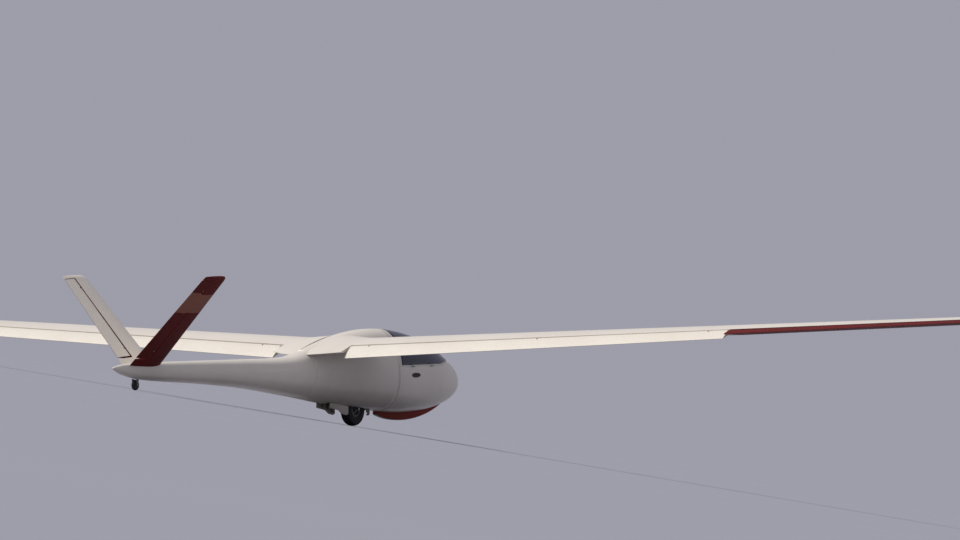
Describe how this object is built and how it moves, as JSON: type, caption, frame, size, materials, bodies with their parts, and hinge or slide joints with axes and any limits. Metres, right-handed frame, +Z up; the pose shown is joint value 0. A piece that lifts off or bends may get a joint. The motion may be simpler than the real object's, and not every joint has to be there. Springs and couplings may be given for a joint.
{
  "type": "sailplane",
  "caption": "Single-seat V-tailed sailplane standing on its wheels and one wing tip, with side-hinged canopy, wing flaps, ailerons and ruddervators that turn.",
  "frame": {"origin": "centre of the bounding box on the ground, below the parked aircraft", "axes": "+X towards the nose, +Y towards the left wing tip, +Z up from the ground"},
  "size_m": [7.1494, 16.3234, 2.2886],
  "materials": {
    "white_paint": "gloss",
    "red_paint": "gloss",
    "grey_paint": "satin",
    "canopy_glazing": "polished",
    "bare_metal": "satin",
    "tyre": "matte",
    "cloth": "woven",
    "black_plastic": "matte"
  },
  "bodies": {
    "airframe": {"nose_cone": "white_paint", "cockpit_shell": "white_paint", "centre_fuselage": "white_paint", "tail_boom": "white_paint", "boom_end_cap": "white_paint", "nose_skid": "red_paint", "skid_shoe": "bare_metal", "tow_hook": "bare_metal", "left_side_vent": "black_plastic", "right_side_vent": "black_plastic", "cockpit_floor": "grey_paint", "seat_bucket": "grey_paint", "seat_cushion": "cloth", "back_cushion": "cloth", "headrest": "cloth", "instrument_panel": "black_plastic", "control_stick": "black_plastic", "rudder_pedals": "bare_metal", "flap_lever": "black_plastic", "left_root_fairing": "white_paint", "left_wing": "white_paint", "left_wing_tip": "white_paint", "left_tip_skid": "bare_metal", "left_fin": "white_paint", "right_root_fairing": "white_paint", "right_wing": "white_paint", "right_wing_tip": "white_paint", "right_tip_skid": "bare_metal", "right_fin": "white_paint", "main_fork": "bare_metal", "left_gear_door": "white_paint", "right_gear_door": "white_paint", "tail_fork": "bare_metal"},
    "canopy": {"canopy_frame": "white_paint", "canopy_glass": "canopy_glazing"},
    "left_flap": {"left_flap": "white_paint"},
    "right_flap": {"right_flap": "white_paint"},
    "left_aileron": {"left_aileron": "red_paint"},
    "right_aileron": {"right_aileron": "red_paint"},
    "left_ruddervator": {"left_ruddervator": "red_paint"},
    "right_ruddervator": {"right_ruddervator": "red_paint"},
    "main_wheel": {"main_hub": "bare_metal", "main_tyre": "tyre"},
    "tail_wheel": {"tail_hub": "bare_metal", "tail_tyre": "tyre"}
  },
  "joints": [
    {"name": "canopy_hinge", "type": "hinge", "parent": "airframe", "child": "canopy", "pos_m": [2.16088, -0.38307, 0.75236], "axis": [0.9943, 0.0384, 0.0997], "range_deg": [0, 80]},
    {"name": "left_flap_hinge", "type": "hinge", "parent": "airframe", "child": "left_flap", "pos_m": [0.58357, 0.38331, 0.69791], "axis": [-0.0298, -0.9963, 0.0802], "range_deg": [-26, 65]},
    {"name": "left_aileron_hinge", "type": "hinge", "parent": "airframe", "child": "left_aileron", "pos_m": [0.71851, 4.90183, 0.33397], "axis": [-0.0298, -0.9963, 0.0802], "range_deg": [-20, 20]},
    {"name": "left_ruddervator_hinge", "type": "hinge", "parent": "airframe", "child": "left_ruddervator", "pos_m": [-3.09336, 0.03103, 0.33014], "axis": [0.0053, -0.7597, -0.6503], "range_deg": [-25, 25]},
    {"name": "right_flap_hinge", "type": "hinge", "parent": "airframe", "child": "right_flap", "pos_m": [0.57751, -0.48905, 0.8135], "axis": [0.016, -0.9832, 0.182], "range_deg": [-26, 65]},
    {"name": "right_aileron_hinge", "type": "hinge", "parent": "airframe", "child": "right_aileron", "pos_m": [0.65003, -4.94784, 1.63911], "axis": [0.016, -0.9832, 0.182], "range_deg": [-20, 20]},
    {"name": "right_ruddervator_hinge", "type": "hinge", "parent": "airframe", "child": "right_ruddervator", "pos_m": [-3.09492, -0.19449, 0.36002], "axis": [-0.0145, -0.5639, 0.8257], "range_deg": [-25, 25]},
    {"name": "main_wheel_spin", "type": "hinge", "parent": "airframe", "child": "main_wheel", "pos_m": [1.43089, -0.13403, 0.18779], "axis": [0.0069, 0.9913, -0.1314], "continuous": true},
    {"name": "tail_wheel_spin", "type": "hinge", "parent": "airframe", "child": "tail_wheel", "pos_m": [-3.11708, -0.1201, 0.0543], "axis": [0.0069, 0.9913, -0.1314], "continuous": true}
  ],
  "couplings": [
    {"joint": "right_flap_hinge", "follows": "left_flap_hinge", "ratio": 1},
    {"joint": "right_aileron_hinge", "follows": "left_aileron_hinge", "ratio": -1}
  ]
}
